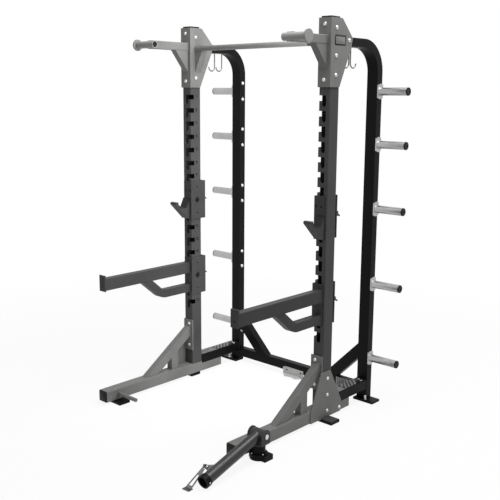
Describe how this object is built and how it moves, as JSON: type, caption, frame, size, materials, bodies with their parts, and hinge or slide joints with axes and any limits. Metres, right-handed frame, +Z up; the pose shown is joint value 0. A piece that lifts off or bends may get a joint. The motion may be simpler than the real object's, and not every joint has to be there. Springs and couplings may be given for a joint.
{
  "type": "half rack",
  "caption": "Free-standing half rack with slotted uprights, weight horns, a pull-up bar, lift-off bar hooks and safety arms, and a swivelling bar sleeve.",
  "frame": {"origin": "on the floor, below the middle of the whole object's box", "axes": "+Z up, +X to the lifter's right when facing the rack's rear, +Y to the rear"},
  "size_m": [1.628, 1.6777, 2.383],
  "materials": {
    "gray_paint": "satin powder coat",
    "charcoal_paint": "satin powder coat",
    "black_paint": "satin powder coat",
    "hook_paint": "satin powder coat",
    "silver_paint": "silver powder coat",
    "horn_steel": "plated",
    "bright_chrome": "plated",
    "zinc": "zinc plated",
    "black_plastic": "moulded",
    "liner_plastic": "moulded wear liner",
    "gray_rubber": "ribbed"
  },
  "bodies": {
    "frame": {"top_bracket_left": "gray_paint", "top_bracket_right": "gray_paint", "pull_up_bar": "gray_paint", "pull_up_gussets": "gray_paint", "grip_arm_left": "gray_paint", "grip_arm_right": "gray_paint", "grip_gussets": "gray_paint", "grip_handle_left": "gray_paint", "grip_handle_right": "gray_paint", "base_rail_left": "gray_paint", "base_rail_right": "gray_paint", "rear_stubs": "gray_paint", "front_brace_left": "gray_paint", "front_brace_right": "gray_paint", "brace_plates": "gray_paint", "brace_struts": "gray_paint", "base_gusset_left": "gray_paint", "base_gusset_right": "gray_paint", "band_peg": "gray_paint", "upright_left": "charcoal_paint", "upright_right": "charcoal_paint", "rear_post_left": "black_paint", "rear_post_right": "black_paint", "rear_cross_tube": "black_paint", "rear_corner_braces": "black_paint", "rear_leg_left": "black_paint", "rear_leg_right": "black_paint", "landmine_outrigger": "black_paint", "upright_caps": "black_plastic", "rail_end_caps": "black_plastic", "feet": "black_paint", "weight_horns_left": "horn_steel", "weight_horns_right": "horn_steel", "horn_caps": "black_plastic", "accessory_hooks": "bright_chrome", "dock_bracket": "silver_paint", "ribbed_pad": "gray_rubber", "levelling_bolts": "bright_chrome", "bracket_bolts": "zinc", "horn_bolts": "zinc", "base_bolts": "zinc"},
    "left_hook": {"j_hook_left": "hook_paint", "j_hook_liner_left": "liner_plastic"},
    "left_hook_latch": {"j_hook_latch_left": "hook_paint"},
    "left_safety": {"safety_carriage_left": "hook_paint", "safety_arm_left": "hook_paint", "safety_brace_left": "hook_paint"},
    "left_safety_latch": {"safety_latch_left": "hook_paint"},
    "right_hook": {"j_hook_right": "hook_paint", "j_hook_liner_right": "liner_plastic"},
    "right_hook_latch": {"j_hook_latch_right": "hook_paint"},
    "right_safety": {"safety_carriage_right": "hook_paint", "safety_arm_right": "hook_paint", "safety_brace_right": "hook_paint"},
    "right_safety_latch": {"safety_latch_right": "hook_paint"},
    "swivel": {"landmine_yoke": "hook_paint", "landmine_pin": "zinc"},
    "sleeve": {"landmine_sleeve": "hook_paint", "landmine_collar": "hook_paint"},
    "stirrup": {"landmine_stirrup": "bright_chrome"}
  },
  "joints": [
    {"name": "left_hook_lift", "type": "slide", "parent": "frame", "child": "left_hook", "axis": [0, 0, 1], "range_m": [0, 0.03]},
    {"name": "left_hook_latch", "type": "hinge", "parent": "left_hook", "child": "left_hook_latch", "pos_m": [-0.57, 0.435, 1.269], "axis": [1, 0, 0], "range_deg": [0, 40], "stiffness_Nm_per_rad": 0.4, "springref_deg": -20.05},
    {"name": "left_safety_lift", "type": "slide", "parent": "frame", "child": "left_safety", "axis": [0, 0, 1], "range_m": [0, 0.03]},
    {"name": "left_safety_latch", "type": "hinge", "parent": "left_safety", "child": "left_safety_latch", "pos_m": [-0.57, 0.435, 0.747], "axis": [1, 0, 0], "range_deg": [0, 40], "stiffness_Nm_per_rad": 0.4, "springref_deg": -20.05},
    {"name": "right_hook_lift", "type": "slide", "parent": "frame", "child": "right_hook", "axis": [0, 0, 1], "range_m": [0, 0.03]},
    {"name": "right_hook_latch", "type": "hinge", "parent": "right_hook", "child": "right_hook_latch", "pos_m": [0.57, 0.435, 1.269], "axis": [1, 0, 0], "range_deg": [0, 40], "stiffness_Nm_per_rad": 0.4, "springref_deg": -20.05},
    {"name": "right_safety_lift", "type": "slide", "parent": "frame", "child": "right_safety", "axis": [0, 0, 1], "range_m": [0, 0.03]},
    {"name": "right_safety_latch", "type": "hinge", "parent": "right_safety", "child": "right_safety_latch", "pos_m": [0.57, 0.435, 0.747], "axis": [1, 0, 0], "range_deg": [0, 40], "stiffness_Nm_per_rad": 0.4, "springref_deg": -20.05},
    {"name": "landmine_swivel", "type": "hinge", "parent": "frame", "child": "swivel", "pos_m": [0.664, -0.328, 0.14039], "axis": [0, 0, 1], "range_deg": [-10, 85]},
    {"name": "landmine_tilt", "type": "hinge", "parent": "swivel", "child": "sleeve", "pos_m": [0.664, -0.328, 0.14039], "axis": [-0.9981, -0.061, 0], "range_deg": [0, 90]},
    {"name": "stirrup_fold", "type": "hinge", "parent": "sleeve", "child": "stirrup", "pos_m": [0.63706, -0.70651, 0.08267], "axis": [-0.9981, -0.061, 0], "range_deg": [0, 90]}
  ]
}
